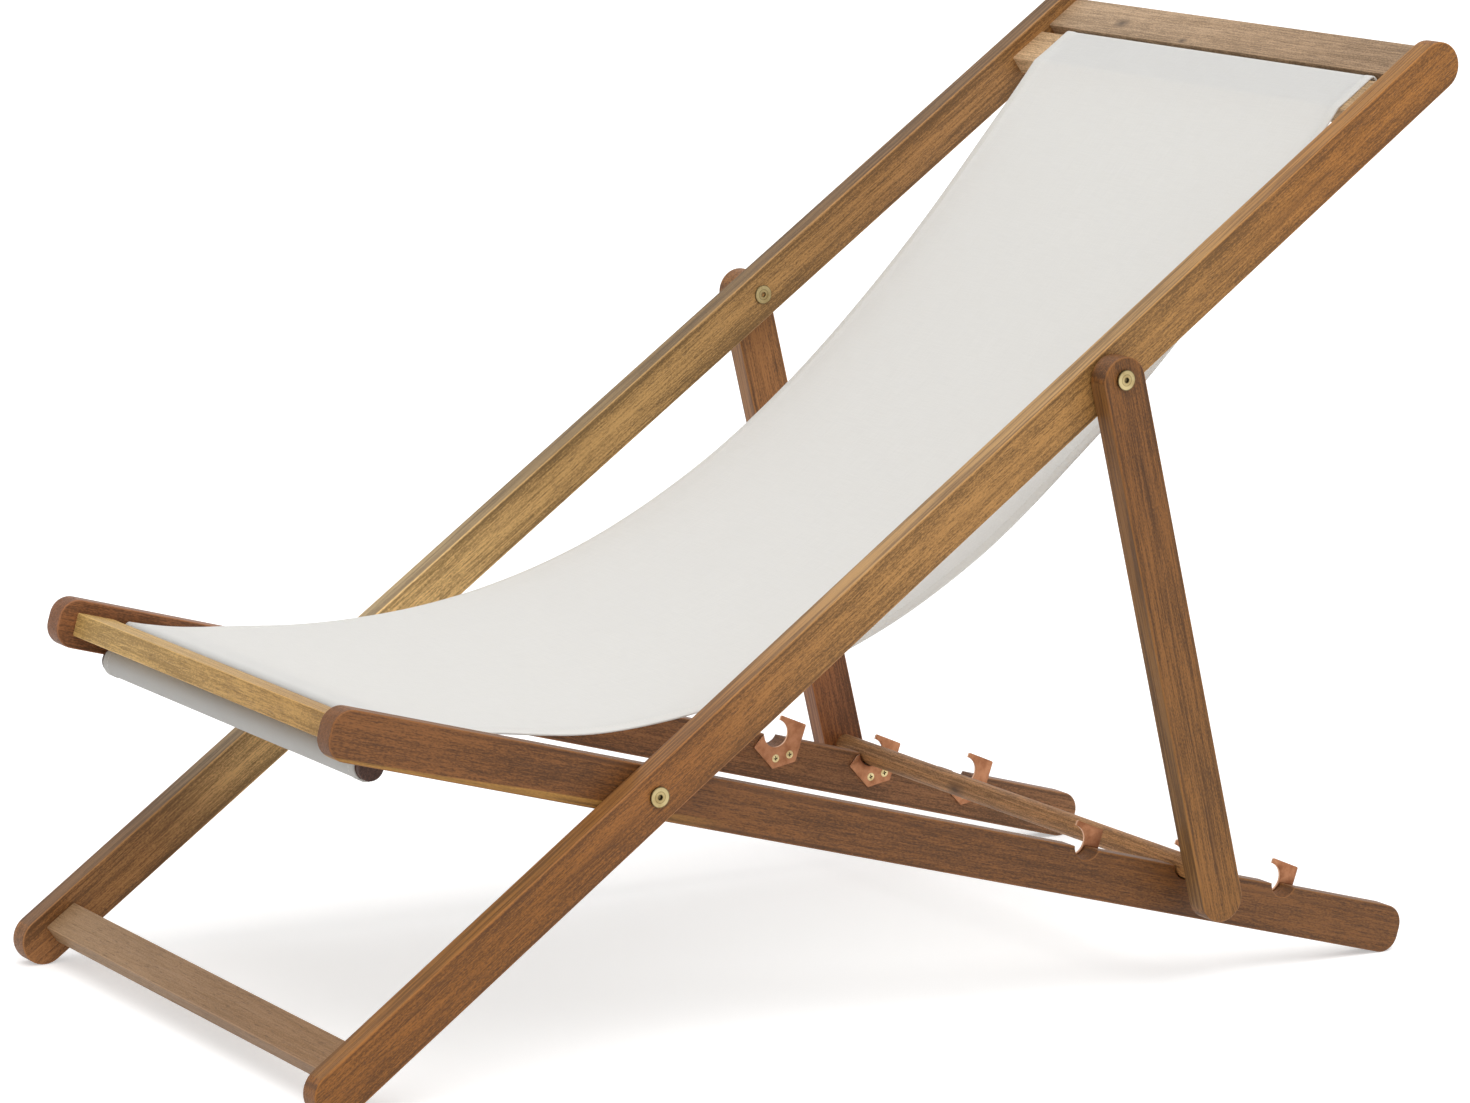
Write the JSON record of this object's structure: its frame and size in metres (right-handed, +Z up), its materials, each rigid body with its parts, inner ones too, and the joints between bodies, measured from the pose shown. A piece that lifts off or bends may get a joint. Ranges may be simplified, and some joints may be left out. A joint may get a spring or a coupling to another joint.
{
  "type": "folding deck chair",
  "caption": "Low wooden deck chair: crossed back and seat frames, a hooked prop for the recline and one hanging cloth sling.",
  "frame": {"origin": "on the floor under the middle of the chair's footprint", "axes": "+X to the sitter's left-hand side as seen from the front (the side named right in node names), +Y towards the head end, +Z up; the sitter faces -Y"},
  "size_m": [0.6048, 1.0918, 0.8001],
  "materials": {
    "rail_wood": "oiled",
    "seat_wood": "oiled",
    "board_wood": "oiled",
    "prop_wood": "oiled",
    "hook_metal": "copper-coloured, satin",
    "brass_parts": "pale yellow plating",
    "sling_cloth": "matt plain weave, off-white"
  },
  "bodies": {
    "seat_frame": {"seat_rail_left": "seat_wood", "seat_rail_right": "seat_wood", "front_board": "board_wood", "inner_board": "board_wood", "hook_left_front": "hook_metal", "hook_left_middle": "hook_metal", "hook_left_rear": "hook_metal", "hook_right_front": "hook_metal", "hook_right_middle": "hook_metal", "hook_right_rear": "hook_metal", "hook_screws": "brass_parts", "sling_seat": "sling_cloth", "sling_bend": "sling_cloth", "sling_bar_front": "prop_wood"},
    "back_frame": {"back_rail_left": "rail_wood", "back_rail_right": "rail_wood", "top_board": "board_wood", "sling_board": "board_wood", "foot_board": "board_wood", "crossing_bolt_left": "brass_parts", "crossing_bolt_right": "brass_parts", "crossing_nut_left": "brass_parts", "crossing_nut_right": "brass_parts", "crossing_washer_left": "brass_parts", "crossing_washer_right": "brass_parts", "prop_bolt_left": "brass_parts", "prop_bolt_right": "brass_parts", "prop_nut_left": "brass_parts", "prop_nut_right": "brass_parts", "prop_washer_left": "brass_parts", "prop_washer_right": "brass_parts", "sling_back": "sling_cloth", "sling_bar_top": "prop_wood"},
    "prop_frame": {"prop_leg_left": "prop_wood", "prop_leg_right": "prop_wood", "prop_rod": "prop_wood"}
  },
  "joints": [
    {"name": "back_lift", "type": "hinge", "parent": "seat_frame", "child": "back_frame", "pos_m": [0, -0.23958, 0.22706], "axis": [1, 0, 0], "range_deg": [0, 60], "deforming": ["sling_bend"]},
    {"name": "prop_swing", "type": "hinge", "parent": "back_frame", "child": "prop_frame", "pos_m": [0, 0.1885, 0.53614], "axis": [1, 0, 0], "range_deg": [-60, 0]}
  ],
  "couplings": [
    {"joint": "prop_swing", "follows": "back_lift", "ratio": -1}
  ]
}
